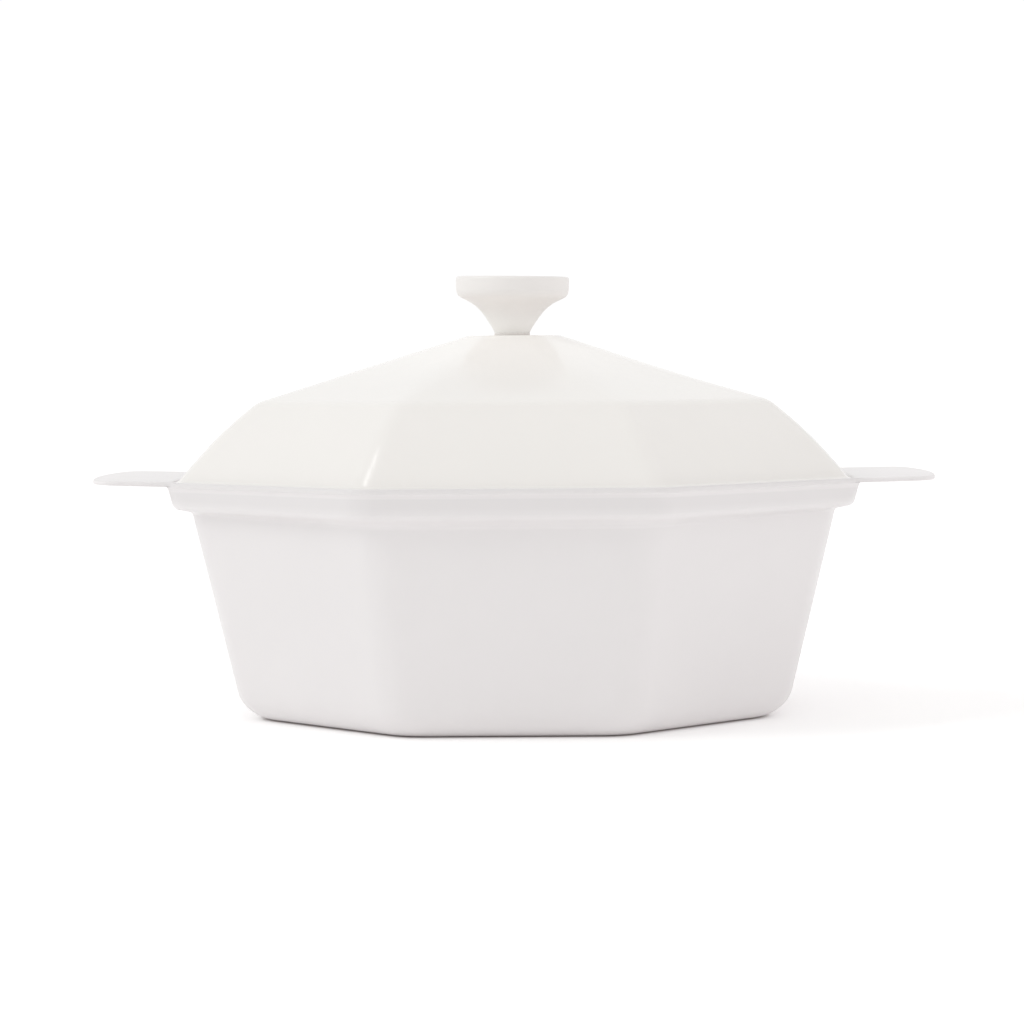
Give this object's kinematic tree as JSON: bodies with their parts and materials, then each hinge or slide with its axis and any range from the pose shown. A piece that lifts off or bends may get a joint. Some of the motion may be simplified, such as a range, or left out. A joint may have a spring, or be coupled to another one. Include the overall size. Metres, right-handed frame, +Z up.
{
  "type": "covered casserole dish",
  "caption": "Octagonal covered casserole: tapered enamelled pot with a stepped collar and flat tab handles, and a lift-off faceted lid with a turned knob.",
  "frame": {"origin": "centre of the base, on the surface the pot stands on", "axes": "+X through one handle, along the length from handle tip to handle tip; +Y out of the back facet, with the front facet facing -Y; +Z up through the knob"},
  "size_m": [0.3282, 0.2648, 0.1712],
  "materials": {
    "pot_enamel": "satin cool-white enamel on steel",
    "lid_enamel": "satin warm-white enamel on steel",
    "knob": "matte warm-white moulded thermoset",
    "insert_brass": "machined",
    "spacer": "matte silicone",
    "hardware_steel": "plain stainless"
  },
  "bodies": {
    "pot": {"pot_body": "pot_enamel"},
    "lid": {"lid_shell": "lid_enamel", "lid_knob": "knob", "knob_insert": "insert_brass", "knob_spacer": "spacer", "lid_washer": "hardware_steel", "lock_washer": "hardware_steel", "knob_screw": "hardware_steel"}
  },
  "joints": [
    {"name": "lid_lift", "type": "slide", "parent": "pot", "child": "lid", "axis": [0, 0, 1], "range_m": [0, 0.15]}
  ]
}
